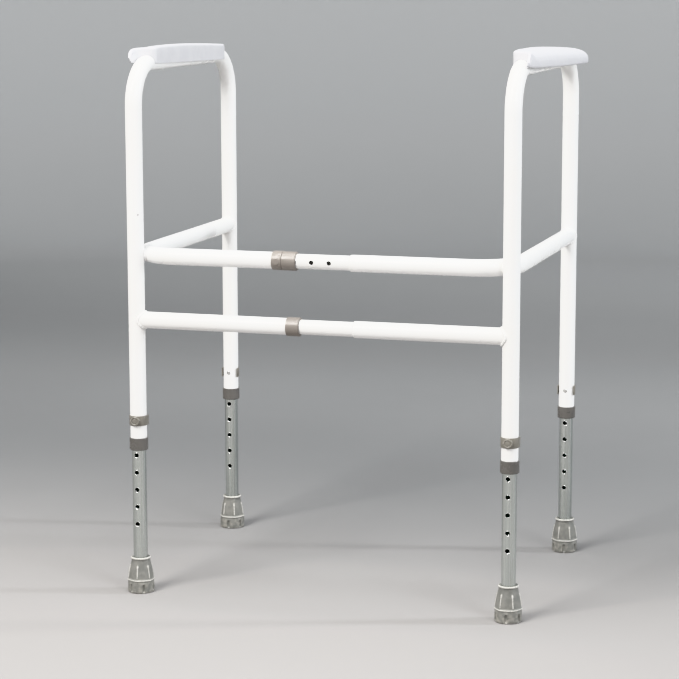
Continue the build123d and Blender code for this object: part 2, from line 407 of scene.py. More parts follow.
def makeAluminium():
    material, tree, shader = newFinish("drawn aluminium", aluminium["colour"], Metallic=1.0)
    fine = useGroup(tree, streaks, aluminium["fine"]).outputs[0]
    broad = useGroup(tree, streaks, aluminium["broad"]).outputs[0]
    share = aluminium["fineShare"]
    mask = plus(tree, times(tree, fine, share), times(tree, broad, 1 - share))
    colour = mixColour(tree, mask, rgba(aluminium["colour"]), rgba(aluminium["bright"]))
    colour = dusted(tree, aluminium, colour)["Colour"]
    setColour(tree, shader, wornAndHighlit(tree, aluminium, colour)["Colour"])
    setGloss(tree, shader, mask, 1.0, aluminium)
    addBump(tree, shader, fine, *aluminium["bump"])
    return material


zinc = {
    "colour": (0.74, 0.74, 0.72), "second": (0.55, 0.56, 0.57), "drift": (0.002, 0.7), "roughness": (0.22, 0.42),
    "grain": (0.0006, 3.0, 0.1, 0.0001),
}


def makeZinc():
    material, tree, shader = newFinish("zinc plate", zinc["colour"], Metallic=1.0)
    tone = drifted(tree, zinc)
    setColour(tree, shader, tone["Colour"])
    setGloss(tree, shader, tone["Mask"], zinc["drift"][1], zinc)
    setGrain(tree, shader, zinc)
    return material


# the light edge colour on the ribs and rims is wear and a painted highlight
rubber = {
    "colour": (0.165, 0.167, 0.156), "second": (0.225, 0.222, 0.205), "drift": (0.008, 0.8),
    "wornAndHighlit": (0.68, 0.67, 0.63), "rub": (0.002, 0.85), "dustColour": (0.55, 0.52, 0.46), "dust": (0.03, 0.35),
    "roughness": (0.5, 0.68), "grain": (0.0008, 4.0, 0.25, 0.0003),
}


def makeRubber():
    material, tree, shader = newFinish("ferrule rubber", rubber["colour"], IOR=1.5)
    tone = drifted(tree, rubber)
    edgesWornAndHighlit = wornAndHighlit(tree, rubber, tone["Colour"])
    setColour(tree, shader, dusted(tree, rubber, edgesWornAndHighlit["Colour"])["Colour"])
    setGloss(tree, shader, tone["Mask"], rubber["drift"][1], rubber)
    setGrain(tree, shader, rubber)
    return material


# tones are (distance, grey): along Y for the floor, up Z for the wall; they are painted light and shade, darkest
# just behind the frame; near and far tint it warmer in front and cooler behind
paper = {
    "floor": ((-0.6, 0.29), (-0.1, 0.27), (0.45, 0.17), (0.9, 0.17), (1.4, 0.24), (2.1, 0.21), (2.8, 0.32),
              (3.5, 0.41)),
    "wall": ((0.0, 0.38), (0.3, 0.41), (0.9, 0.50), (1.6, 0.51)), "wallFrom": (0.0, 0.15),
    "near": (1.0, 0.965, 0.945), "far": (0.965, 0.985, 1.0), "farFrom": (-0.3, 0.8),
    "second": (0.5, 0.5, 0.5), "drift": (1.2, 0.04), "roughness": 0.85, "grain": (0.002, 3.0, 0.05, 0.0003),
}


def paintedLightAndShadeRamp(tree, value, stops):
    # a smooth grey ramp over a distance in metres, which paints light and shade into the cove's colour
    low, high = stops[0][0], stops[-1][0]
    ramp = addNode(tree, "ShaderNodeValToRGB", {0: remap(tree, value, low, high, smooth=False)})
    ramp.color_ramp.interpolation = "B_SPLINE"
    while len(ramp.color_ramp.elements) < len(stops):
        ramp.color_ramp.elements.new(0.5)
    for element, (distance, tone) in zip(ramp.color_ramp.elements, stops):
        element.position = (distance - low) / (high - low)
    for element, (distance, tone) in zip(ramp.color_ramp.elements, stops):
        element.color = (tone, tone, tone, 1)
    return ramp.outputs["Color"]


def makePaintedLightPaper():
    material, tree, shader = newFinish("cove paper with painted light and shade", paper["second"], Roughness=paper["roughness"])
    place = addNode(tree, "ShaderNodeTexCoord").outputs["Object"]
    axes = addNode(tree, "ShaderNodeSeparateXYZ", {0: place}).outputs
    # the floor and wall ramps are painted light and shade
    tone = paintedLightAndShadeRamp(tree, axes["Y"], paper["floor"])
    wall = paintedLightAndShadeRamp(tree, axes["Z"], paper["wall"])
    tone = mixColour(tree, remap(tree, axes["Z"], *paper["wallFrom"]), tone, wall)
    tint = mixColour(tree, remap(tree, axes["Y"], *paper["farFrom"]), rgba(paper["near"]), rgba(paper["far"]))
    colour = mixColour(tree, 1.0, tone, tint, "MULTIPLY")
    setColour(tree, shader, drifted(tree, paper, colour)["Colour"])
    setGrain(tree, shader, paper)
    return material


whiteEnamel = makeEnamel()
drawnAluminium = makeAluminium()
zincPlate = makeZinc()
ferruleRubber = makeRubber()
barPlastic, clipPlastic, paintedShadeCollarPlastic, padPlastic = [makePlastic(kind) for kind in plastics]
floor.data.materials.append(makePaintedLightPaper())
print("finishes built")


# making and placing pieces

def shaped(mesh, steps, tree=None, values=None):
    # the mesh after a form tree, if any, and a list of (modifier, settings)
    maker = bpy.data.objects.new("maker", mesh)
    scene.collection.objects.link(maker)
    if tree is not None:
        stack = maker.modifiers.new("form", "NODES")
        stack.node_group = tree
        for item in tree.interface.items_tree:
            if item.in_out == "INPUT" and item.name in values:
                stack[item.identifier] = values[item.name]
    for kind, settings in steps:
        step = maker.modifiers.new(kind.lower(), kind)
        for name, value in settings.items():
            setattr(step, name, value)
    depsgraph = bpy.context.evaluated_depsgraph_get()
    plain = bpy.data.meshes.new_from_object(
        maker.evaluated_get(depsgraph), preserve_all_data_layers=True, depsgraph=depsgraph
    )
    bpy.data.objects.remove(maker)
    return plain


def grow(tree, values, mesh=None, finish=()):
    return shaped(mesh or bpy.data.meshes.new("blank"), finish, tree, values)


def holdTool(mesh):
    tool = bpy.data.objects.new("cutter", mesh)
    scene.collection.objects.link(tool)
    return tool


def dropTools(*tools):
    for tool in tools:
        bpy.data.objects.remove(tool)


def cutWith(tool):
    return ("BOOLEAN", {"operation": "DIFFERENCE", "solver": "EXACT", "object": tool})


def joinMeshes(meshes, name):
    whole = bmesh.new()
    for mesh in meshes:
        whole.from_mesh(mesh)
    joined = bpy.data.meshes.new(name)
    whole.to_mesh(joined)
    whole.free()
    for material in meshes[0].materials:
        joined.materials.append(material)
    return joined


def addPiece(name, mesh, body, replaced=(), sharp=35):
    tidy = bmesh.new()
    tidy.from_mesh(mesh)
    bmesh.ops.remove_doubles(tidy, verts=tidy.verts, dist=0.000002)
    bmesh.ops.recalc_face_normals(tidy, faces=tidy.faces)
    tidy.to_mesh(mesh)
    tidy.free()
    mesh.name = name
    mesh.shade_smooth()
    mesh.set_sharp_from_angle(angle=radians(sharp))
    piece = bpy.data.objects.new(name, mesh)
    scene.collection.objects.link(piece)
    if replaced:
        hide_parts(*replaced)
    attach(piece, body)


def middleOf(name):
    low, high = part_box(name)
    return [(a + b) / 2 for a, b in zip(low, high)]


def lineMesh(points, corners=(), closed=False, marks=None):
    # corners are the points to bend; marks give some points' wear and painted highlight, by index
    mesh = bpy.data.meshes.new("line")
    pairs = [(i, i + 1) for i in range(len(points) - 1)]
    if closed:
        pairs.append((len(points) - 1, 0))
    mesh.from_pydata(points, pairs, [])
    corner = mesh.attributes.new("corner", "FLOAT", "POINT")
    for index in corners:
        corner.data[index].value = 1.0
    raised = mesh.attributes.new("raised", "FLOAT", "POINT")
    for index, value in (marks or {}).items():
        raised.data[index].value = value
    return mesh


# tubes: a bent line with a round section, necked down where one end telescopes

def makeTubeTree():
    tree, given, result = formTree("bent tube", {
        "Bend Radius": 0.06, "Bend Steps": 20, "Tube Radius": 0.0118, "Sides": 96, "Neck Scale": 1.0,
        "Neck From": 0.0, "Neck To": 1.0, "Caps": False,
    })
    line = addNode(tree, "GeometryNodeMeshToCurve", {"Mesh": given["Geometry"]}).outputs[0]
    corner = addNode(tree, "GeometryNodeInputNamedAttribute", {"Name": "corner"}, data_type="FLOAT").outputs[0]
    bend = times(tree, corner, given["Bend Radius"])
    fillet = addNode(tree, "GeometryNodeFilletCurve", {
        "Curve": line, "Count": given["Bend Steps"], "Radius": bend,
    }, mode="POLY").outputs[0]
    place = addNode(tree, "GeometryNodeInputPosition").outputs[0]
    across = addNode(tree, "ShaderNodeSeparateXYZ", {0: place}).outputs["X"]
    neck = remap(tree, across, given["Neck From"], given["Neck To"], given["Neck Scale"], 1.0)
    section = addNode(tree, "GeometryNodeCurvePrimitiveCircle", {
        "Resolution": given["Sides"], "Radius": given["Tube Radius"],
    }).outputs[0]
    wall = addNode(tree, "GeometryNodeCurveToMesh", {
        "Curve": fillet, "Profile Curve": section, "Scale": neck, "Fill Caps": given["Caps"],
    }).outputs[0]
    return endForm(tree, given, result, wall)


def makeHoleTree():
    tree, given, result = formTree("row of holes", {
        "Count": 7, "First": (0, 0, 0), "Step": (0, 0, 0.0254), "Radius": 0.0032, "Depth": 0.024,
        "Rim Flare": 0.2, "Flare From": 0.0094, "Flare To": 0.0108,
    })
    plug = addNode(tree, "GeometryNodeMeshCylinder", {
        "Vertices": 40, "Side Segments": 20, "Radius": given["Radius"], "Depth": given["Depth"],
    }).outputs[0]
    place = addNode(tree, "GeometryNodeInputPosition").outputs[0]
    axes = addNode(tree, "ShaderNodeSeparateXYZ", {0: place}).outputs
    far = calc(tree, "ABSOLUTE", axes["Z"])
    flare = remap(tree, far, given["Flare From"], given["Flare To"], 0.0, given["Rim Flare"], smooth=False)
    swell = plus(tree, flare, 1.0)
    flared = addNode(tree, "ShaderNodeCombineXYZ", {
        "X": times(tree, axes["X"], swell), "Y": times(tree, axes["Y"], swell),
        "Z": axes["Z"],
    }).outputs[0]
    plug = addNode(tree, "GeometryNodeSetPosition", {"Geometry": plug, "Position": flared}).outputs[0]
    plug = addNode(tree, "GeometryNodeTransform", {"Geometry": plug, "Rotation": (pi / 2, 0, 0)}).outputs[0]
    row = addNode(tree, "GeometryNodeMeshLine", {
        "Count": given["Count"], "Start Location": given["First"], "Offset": given["Step"],
    }, mode="OFFSET").outputs[0]
    plugs = addNode(tree, "GeometryNodeInstanceOnPoints", {"Points": row, "Instance": plug}).outputs[0]
    return endForm(tree, given, result, plugs)


tubeTree = makeTubeTree()
holeTree = makeHoleTree()

frameTube = {
    "wall": 0.0012, "sides": 96, "bendSteps": 20, "armBend": 0.060, "railBend": 0.057, "innerRadius": 0.0103,
    "neckLength": 0.0025, "neckSteps": 8, "upperNeck": 0.0448, "lowerNeck": 0.0493, "postReach": 0.03,
    "holePitch": 0.0254, "holeRadius": 0.0032, "barHoles": 7, "holeFlare": 0.2, "flareBand": (0.0007, 0.0005),
    "drillDepth": 0.03, "barDrillDepth": 0.024, "ventHeight": 0.551, "ventRadius": 0.0012, "ventAngle": 41,
    "ventDepth": 0.02,
}


def tubeMesh(points, corners, bend, radius, tools=(), neckFrom=None, caps=False):
    values = {
        "Bend Radius": bend, "Bend Steps": frameTube["bendSteps"], "Tube Radius": radius,
        "Sides": frameTube["sides"], "Caps": caps, "Material": whiteEnamel,
    }
    if neckFrom is not None:
        values["Neck From"] = neckFrom
        values["Neck To"] = neckFrom + frameTube["neckLength"]
        values["Neck Scale"] = frameTube["innerRadius"] / radius
    finish = [] if caps else [("SOLIDIFY", {"thickness": frameTube["wall"], "offset": -1.0})]
    finish += [cutWith(tool) for tool in tools]
    return grow(tubeTree, values, lineMesh(points, corners), finish)


def solidRod(start, end, radius):
    return holdTool(tubeMesh([start, end], (), 0.0, radius, caps=True))


def postRod(x, y, z, radius):
    # a solid length of upright, which gives a joining tube its fish-mouth end
    reach = frameTube["postReach"]
    return solidRod((x, y, z - reach), (x, y, z + reach), radius)


def barLine(side, part, x, y, neckAt):
    # from a crossbar's free end to its upright; the right half is necked to slide into the left one
    low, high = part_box(f"{side}_{part}")
    z = (low.z + high.z) / 2
    if side == "left":
        return [(high.x, y, z), (x, y, z)], None
    steps = frameTube["neckSteps"]
    neck = [(neckAt + frameTube["neckLength"] * step / steps, y, z) for step in range(steps + 1)]
    return [(low.x, y, z), *neck, (x, y, z)], neckAt


def makeArm(side, x, frontY, rearY, low, top, radius):
    pinZ = middleOf(f"{side}_front_clip_pin")[2]
    holes = [grow(holeTree, {
        "Count": 1, "First": (x, y, pinZ), "Radius": frameTube["holeRadius"], "Depth": frameTube["drillDepth"],
        "Rim Flare": 0.0,
    }) for y in (frontY, rearY)]
    tools = [holdTool(joinMeshes(holes, "drill"))]
    if side == "left":
        # one small drain hole, turned towards the middle of the frame
        angle, height, depth = radians(frameTube["ventAngle"]), frameTube["ventHeight"], frameTube["ventDepth"]
        away = (x + depth * sin(angle), frontY - depth * cos(angle), height)
        tools.append(solidRod((x, frontY, height), away, frameTube["ventRadius"]))
    points = [(x, frontY, low), (x, frontY, top), (x, rearY, top), (x, rearY, low)]
    arm = tubeMesh(points, (1, 2), frameTube["armBend"], radius, tools)
    addPiece(f"{side}ArmTube", arm, f"{side}_frame", (f"{side}_arm_tube",))
    dropTools(*tools)


def makeRail(side, x, frontY, rearY, radius):
    points, neckFrom = barLine(side, "rail_tube", x, frontY, frameTube["upperNeck"])
    z = points[0][2]
    points.append((x, rearY, z))
    count = 1 if side == "left" else frameTube["barHoles"]
    first = middleOf("upper_bar_clip_pin")[0] - (count // 2) * frameTube["holePitch"]
    outer = radius if side == "left" else frameTube["innerRadius"]
    inset, beyond = frameTube["flareBand"]
    rearPost = postRod(x, rearY, z, radius)
    drill = holdTool(grow(holeTree, {
        "Count": count, "First": (first, frontY, z), "Step": (frameTube["holePitch"], 0, 0),
        "Radius": frameTube["holeRadius"], "Depth": frameTube["barDrillDepth"], "Rim Flare": frameTube["holeFlare"],
        "Flare From": outer - inset, "Flare To": outer + beyond,
    }))
    rail = tubeMesh(points, (len(points) - 2,), frameTube["railBend"], radius, [rearPost, drill], neckFrom)
    addPiece(f"{side}RailTube", rail, f"{side}_frame", (f"{side}_rail_tube",))
    dropTools(rearPost, drill)
    return z


def makeLowerTube(side, x, frontY, radius):
    points, neckFrom = barLine(side, "lower_tube", x, frontY, frameTube["lowerNeck"])
    z = points[0][2]
    frontPost = postRod(x, frontY, z, radius)
    lower = tubeMesh(points, (), 0.0, radius, [frontPost], neckFrom)
    addPiece(f"{side}LowerTube", lower, f"{side}_frame", (f"{side}_lower_tube",))
    dropTools(frontPost)
    return z


def makeSideFrame(side):
    low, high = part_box(f"{side}_arm_tube")
    radius = (high.x - low.x) / 2
    x = (high.x + low.x) / 2
    frontY, rearY = low.y + radius, high.y - radius
    top = high.z - radius
    makeArm(side, x, frontY, rearY, low.z, top, radius)
    railZ = makeRail(side, x, frontY, rearY, radius)
    lowZ = makeLowerTube(side, x, frontY, radius)
    return {"x": x, "front": frontY, "rear": rearY, "radius": radius, "railZ": railZ, "lowZ": lowZ, "top": top}


layout = {side: makeSideFrame(side) for side in sides}
print("frame tubes bent")


# weld beads where the tubes join

weld = {
    "radius": 0.0018, "ripple": 0.1, "pitch": 0.0034, "wander": 0.4, "ringRadius": 0.0074, "lift": 0.0012,
    "stepLength": 0.0005, "lumpScale": 180.0, "sides": 14,
}


def makeWeldTree():
    tree, given, result = formTree("weld bead", {
        "Bead Radius": 0.0018, "Ripple": 0.12, "Ripple Pitch": 0.0028, "Wander": 0.25,
    })
    line = addNode(tree, "GeometryNodeMeshToCurve", {"Mesh": given["Geometry"]}).outputs[0]
    line = addNode(tree, "GeometryNodeResampleCurve", {
        "Curve": line, "Length": weld["stepLength"],
    }, mode="LENGTH").outputs[0]
    along = addNode(tree, "GeometryNodeSplineParameter").outputs["Length"]
    wave = calc(tree, "SINE", times(tree, calc(tree, "DIVIDE", along, given["Ripple Pitch"]), 2 * pi))
    place = addNode(tree, "GeometryNodeInputPosition").outputs[0]
    noise = addNode(tree, "ShaderNodeTexNoise", {
        "Vector": place, "Scale": weld["lumpScale"], "Detail": 1.0,
    }).outputs[0]
    lumps = times(tree, minus(tree, noise, 0.5), given["Wander"])
    size = plus(tree, times(tree, wave, given["Ripple"]), lumps)
    section = addNode(tree, "GeometryNodeCurvePrimitiveCircle", {
        "Resolution": weld["sides"], "Radius": given["Bead Radius"],
    }).outputs[0]
    bead = addNode(tree, "GeometryNodeCurveToMesh", {
        "Curve": line, "Profile Curve": section, "Scale": plus(tree, size, 1.0),
    }).outputs[0]
    return endForm(tree, given, result, bead)


def saddleLine(centre, along, radius, count=90):
    # where a tube meets an upright of its own size, pushed out a little
    across = along.cross(up)
    points = []
    for step in range(count):
        turn = 2 * pi * step / count
        reach = sqrt((radius + weld["lift"]) ** 2 - (radius * cos(turn)) ** 2)
        points.append(centre + across * radius * cos(turn) + up * radius * sin(turn) + along * reach)
    return points


def touchLine(place, sign, count=60):
    # the crevice round the spot where the bent rail touches the upright
    bend, radius = frameTube["railBend"], place["radius"]
    middle = Vector((place["x"] - sign * bend, place["front"] + bend, place["railZ"]))
    outward = Vector((sign, -1, 0)).normalized()
    sideways = outward.cross(up)
    spot = middle + outward * (bend + radius)
    points = []
    for step in range(count):
        turn = 2 * pi * step / count
        flat, rise = weld["ringRadius"] * cos(turn), weld["ringRadius"] * sin(turn)
        post = radius - sqrt(radius ** 2 - flat ** 2)
        rail = radius - sqrt(radius ** 2 - rise ** 2) + flat ** 2 / (2 * (bend + radius))
        points.append(spot + sideways * flat + up * rise + outward * (post - rail) / 2)
    return points


weldTree = makeWeldTree()
for side, sign in sides.items():
    place = layout[side]
    railEnd = Vector((place["x"], place["rear"], place["railZ"]))
    lowerEnd = Vector((place["x"], place["front"], place["lowZ"]))
    lines = [
        saddleLine(railEnd, Vector((0, -1, 0)), place["radius"]),
        saddleLine(lowerEnd, Vector((-sign, 0, 0)), place["radius"]),
        touchLine(place, sign),
    ]
    beads = [
        grow(weldTree, {
            "Bead Radius": weld["radius"], "Ripple": weld["ripple"], "Ripple Pitch": weld["pitch"],
            "Wander": weld["wander"], "Material": whiteEnamel,
        }, lineMesh(line, closed=True))
        for line in lines
    ]
    addPiece(f"{side}Welds", joinMeshes(beads, "welds"), f"{side}_frame", sharp=70)
print("welds laid")


# turned forms: an outline spun round an upright axis, with ribs and notches if asked

# how softly ribs, notches and flats begin and end, in metres; bulbSwell is a share of the rib's width
relief = {
    "flank": 0.0005, "ribEnds": 0.002, "notchEnds": 0.0015, "flatEnds": 0.004, "bulb": 0.0015,
    "bulbLength": 0.0055, "bulbSwell": 0.7,
}


def makeTurnedTree():
    tree, given, result = formTree("turned form", {
        "Segments": 192, "Centre": (0, 0, 0), "Ribs": 8, "Rib Height": 0.0, "Rib Width": 0.0026, "Rib From": 0.0,
        "Rib To": 1.0, "Notch Depth": 0.0, "Notch Width": 0.0022, "Notch From": 0.0, "Notch To": 1.0,
        "Skin From": 0.012, "Flatness": 0.0, "Flat From": 0.014, "Flat To": 0.05, "Turn": 0.0,
    })
    outline = addNode(tree, "GeometryNodeMeshToCurve", {"Mesh": given["Geometry"]}).outputs[0]
    place = addNode(tree, "GeometryNodeInputPosition").outputs[0]
    outline = addNode(tree, "GeometryNodeStoreNamedAttribute", {
        "Geometry": outline, "Name": "outline", "Value": place,
    }, data_type="FLOAT_VECTOR", domain="POINT").outputs[0]
    rail = addNode(tree, "GeometryNodeCurvePrimitiveCircle", {"Resolution": given["Segments"], "Radius": 1.0})
    factor = addNode(tree, "GeometryNodeSplineParameter").outputs["Factor"]
    rail = addNode(tree, "GeometryNodeStoreNamedAttribute", {
        "Geometry": rail.outputs[0], "Name": "turn", "Value": factor,
    }, data_type="FLOAT", domain="POINT").outputs[0]
    spun = addNode(tree, "GeometryNodeCurveToMesh", {"Curve": rail, "Profile Curve": outline}).outputs[0]

    point = addNode(tree, "GeometryNodeInputNamedAttribute", {"Name": "outline"}, data_type="FLOAT_VECTOR")
    axes = addNode(tree, "ShaderNodeSeparateXYZ", {0: point.outputs[0]}).outputs
    turn = addNode(tree, "GeometryNodeInputNamedAttribute", {"Name": "turn"}, data_type="FLOAT").outputs[0]
    raised = addNode(tree, "GeometryNodeInputNamedAttribute", {"Name": "raised"}, data_type="FLOAT").outputs[0]
    radius, height = axes["X"], axes["Z"]
    share = calc(tree, "FRACT", times(tree, turn, given["Ribs"]))
    offset = calc(tree, "ABSOLUTE", minus(tree, share, 0.5))
    girth = calc(tree, "DIVIDE", times(tree, radius, 2 * pi), given["Ribs"])
    away = times(tree, offset, girth)
    skin = calc(tree, "GREATER_THAN", radius, given["Skin From"])

    def window(low, high, soft):
        lower = remap(tree, height, low, plus(tree, low, soft))
        upper = remap(tree, height, minus(tree, high, soft), high, 1.0, 0.0)
        return times(tree, lower, upper)

    def strip(distance, width, soft):
        half = times(tree, width, 0.5)
        return remap(tree, distance, minus(tree, half, soft), plus(tree, half, soft), 1.0, 0.0)

    bulb = window(minus(tree, given["Rib To"], relief["bulbLength"]), given["Rib To"], relief["bulb"])
    ribWidth = times(tree, given["Rib Width"], plus(tree, times(tree, bulb, relief["bulbSwell"]), 1.0))
    ribSpan = window(given["Rib From"], given["Rib To"], relief["ribEnds"])
    rib = times(tree, times(tree, strip(away, ribWidth, relief["flank"]), ribSpan), skin)
    between = minus(tree, times(tree, girth, 0.5), away)
    notchSpan = window(given["Notch From"], given["Notch To"], relief["notchEnds"])
    notch = times(tree, times(tree, strip(between, given["Notch Width"], relief["flank"]), notchSpan), skin)
    # flats between the ribs: the radius of a polygon with a rib on each corner
    half = calc(tree, "DIVIDE", pi, given["Ribs"])
    swing = times(tree, minus(tree, 0.5, offset), times(tree, half, 2.0))
    facet = calc(tree, "DIVIDE", calc(tree, "COSINE", half), calc(tree, "COSINE", swing))
    amount = times(tree, window(given["Flat From"], given["Flat To"], relief["flatEnds"]), given["Flatness"])
    amount = times(tree, amount, skin)
    squeeze = minus(tree, 1.0, times(tree, amount, minus(tree, 1.0, facet)))
    radius = times(tree, radius, squeeze)
    radius = plus(tree, radius, times(tree, rib, given["Rib Height"]))
    radius = minus(tree, radius, times(tree, notch, given["Notch Depth"]))
    angle = plus(tree, times(tree, turn, 2 * pi), given["Turn"])
    spot = addNode(tree, "ShaderNodeCombineXYZ", {
        "X": times(tree, radius, calc(tree, "COSINE", angle)),
        "Y": times(tree, radius, calc(tree, "SINE", angle)), "Z": height,
    }).outputs[0]
    spot = addNode(tree, "ShaderNodeVectorMath", {0: spot, 1: given["Centre"]}, operation="ADD").outputs[0]
    # ribs are lightened as well, with wear and a painted highlight
    ribWearAndHighlight = times(tree, rib, calc(tree, "GREATER_THAN", given["Rib Height"], 0.00001))
    edgesWornAndHighlit = addNode(tree, "GeometryNodeStoreNamedAttribute", {
        "Geometry": spun, "Name": "edgeWearAndHighlight", "Value": calc(tree, "MAXIMUM", raised, ribWearAndHighlight),
    }, data_type="FLOAT", domain="POINT").outputs[0]
    form = addNode(tree, "GeometryNodeSetPosition", {"Geometry": edgesWornAndHighlit, "Position": spot}).outputs[0]
    for name in ("outline", "turn", "raised", "corner"):
        form = addNode(tree, "GeometryNodeRemoveAttribute", {"Geometry": form, "Name": name}).outputs[0]
    closed = addNode(tree, "GeometryNodeMergeByDistance", {"Geometry": form, "Distance": 0.000005}).outputs[0]
    return endForm(tree, given, result, closed)


turnedTree = makeTurnedTree()


def turnedMesh(outline, marks, values):
    # the outline is (radius, height) in millimetres
    points = [(r / 1000, 0.0, z / 1000) for r, z in outline]
    return grow(turnedTree, values, lineMesh(points, marks=marks))


# leg extensions and their rubber feet

leg = {
    "sides": 96, "holes": 7, "flare": 0.22, "flareBand": (0.0008, 0.0004), "drillDepth": 0.024,
    "rimRadius": 0.0036, "rimSize": 0.0004, "rimDepth": 0.0003, "rimWander": 0.2,
}
ferrule = {
    "ribs": 6, "ribHeight": 0.0009, "ribWidth": 0.0015, "ribSpan": (0.0205, 0.0415), "notchDepth": 0.0017,
    "notchWidth": 0.0034, "notchSpan": (0.0015, 0.0135), "skinFrom": 0.0122, "sides": 264, "flatness": 0.42,
    "turns": {"left_front": 3, "right_front": 34, "left_rear": 30, "right_rear": 39},
}


def ferruleOutline():
    # up the outside from the tread to the mouth, then down the socket for the tube
    points = [(0, 1.2), (4.0, 1.2), (4.5, 0.2), (7.5, 0.2), (8.0, 1.2), (10.0, 1.2), (10.5, 0.2), (13.0, 0.2),
              (13.5, 1.2), (15.0, 1.2), (15.5, 0.0), (17.2, 0.0), (18.2, 0.4), (18.9, 1.2), (19.2, 2.6),
              (19.2, 4.0)]
    points += [(19.15 - 0.15 * (z - 4) / 12, z) for z in (6, 8, 10, 12, 14, 16)]
    points += [(19.05, 17.2), (19.4, 17.8), (19.85, 18.3), (20.0, 18.8), (19.85, 19.3), (19.4, 19.8), (18.9, 20.1),
               (18.35, 20.5), (18.2, 21.2)]
    for z in range(22, 49):
        share = (z - 21) / 28
        points.append((18.2 - 4.9 * share ** 1.25, z))
    points += [(13.35, 48.6), (13.6, 49.2), (14.05, 49.7), (14.3, 50.4), (14.25, 51.2), (13.8, 51.85), (13.2, 52.0),
               (11.0, 52.0), (10.5, 51.7), (10.35, 51.2), (10.35, 40.0), (10.35, 25.0), (10.35, 6.0), (0, 6.0)]
    # the marks lighten the raised rim and the mouth's flange with wear and a painted highlight, and the tread's
    # edge with wear
    marks = {}
    for index, (r, z) in enumerate(points):
        if 18.0 < z < 19.7 and r > 19.3:
            marks[index] = 1.0
        if z > 49.5 and r > 13.5:
            marks[index] = 1.0
        if z < 2 and r > 18:
            marks[index] = 0.35
    return points, marks


def rimLine(centre, facing, radius, count=40):
    # the rolled edge of a punched hole, lying on the tube's round wall
    points = []
    for step in range(count):
        turn = 2 * pi * step / count
        across, rise = leg["rimRadius"] * cos(turn), leg["rimRadius"] * sin(turn)
        points.append(centre + Vector((across, facing * sqrt(radius ** 2 - across ** 2), rise)))
    return points


def makeLeg(side, end):
    place = layout[side]
    name = f"{side}_{end}"
    body = f"{name}_leg"
    x, y = place["x"], place[end]
    low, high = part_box(f"{name}_leg_tube")
    radius = (high.x - low.x) / 2
    pinZ = middleOf(f"{name}_clip_pin")[2]
    inset, beyond = leg["flareBand"]
    drill = holdTool(grow(holeTree, {
        "Count": leg["holes"], "First": (x, y, pinZ), "Step": (0, 0, -frameTube["holePitch"]),
        "Radius": frameTube["holeRadius"], "Depth": leg["drillDepth"], "Rim Flare": leg["flare"],
        "Flare From": radius - inset, "Flare To": radius + beyond,
    }))
    tube = grow(tubeTree, {
        "Tube Radius": radius, "Sides": leg["sides"], "Material": drawnAluminium,
    }, lineMesh([(x, y, low.z), (x, y, high.z)]), [
        ("SOLIDIFY", {"thickness": frameTube["wall"], "offset": -1.0}), cutWith(drill),
    ])
    dropTools(drill)
    rims = []
    for facing in (-1, 1):
        for index in range(leg["holes"]):
            ring = rimLine(Vector((x, y, pinZ - index * frameTube["holePitch"])), facing, radius - leg["rimDepth"])
            rims.append(grow(weldTree, {
                "Bead Radius": leg["rimSize"], "Ripple": 0.0, "Wander": leg["rimWander"],
                "Material": drawnAluminium,
            }, lineMesh(ring, closed=True)))
    tubePoints = len(tube.vertices)
    tube = joinMeshes([tube] + rims, "leg")
    # the hole rims get the full near-white edge colour: a painted highlight
    rimHighlight = tube.attributes.new("edgeWearAndHighlight", "FLOAT", "POINT")
    for index in range(tubePoints, len(tube.vertices)):
        rimHighlight.data[index].value = 1.0
    camelName = side + end.title()
    addPiece(f"{camelName}LegTube", tube, body, (f"{name}_leg_tube",))

    points, marks = ferruleOutline()
    foot = turnedMesh(points, marks, {
        "Segments": ferrule["sides"], "Centre": (x, y, 0.0), "Turn": radians(ferrule["turns"][name]),
        "Ribs": ferrule["ribs"], "Rib Height": ferrule["ribHeight"], "Rib Width": ferrule["ribWidth"],
        "Rib From": ferrule["ribSpan"][0], "Rib To": ferrule["ribSpan"][1],
        "Notch Depth": ferrule["notchDepth"], "Notch Width": ferrule["notchWidth"],
        "Notch From": ferrule["notchSpan"][0], "Notch To": ferrule["notchSpan"][1],
        "Skin From": ferrule["skinFrom"], "Flatness": ferrule["flatness"], "Material": ferruleRubber,
    })
    addPiece(f"{camelName}Ferrule", foot, body, (f"{name}_ferrule",), sharp=50)


for side in sides:
    for end in ends:
        makeLeg(side, end)
print("legs and ferrules made")


# snap clips

# in millimetres
clip = {
    "outer": 13.2, "bore": 11.9, "width": 14.5, "reach": 7.0, "button": 6.3, "stretch": 1.1, "rise": 3.0,
    "base": 9.4, "arcSteps": 48, "sides": 96, "rounding": 0.5, "roundSteps": 3, "bossRise": 0.25, "bossSink": 1.5,
    "passage": 20, "pinBore": 3.1, "pinBoreSides": 48, "pinCover": (1.6, 0.8),
}


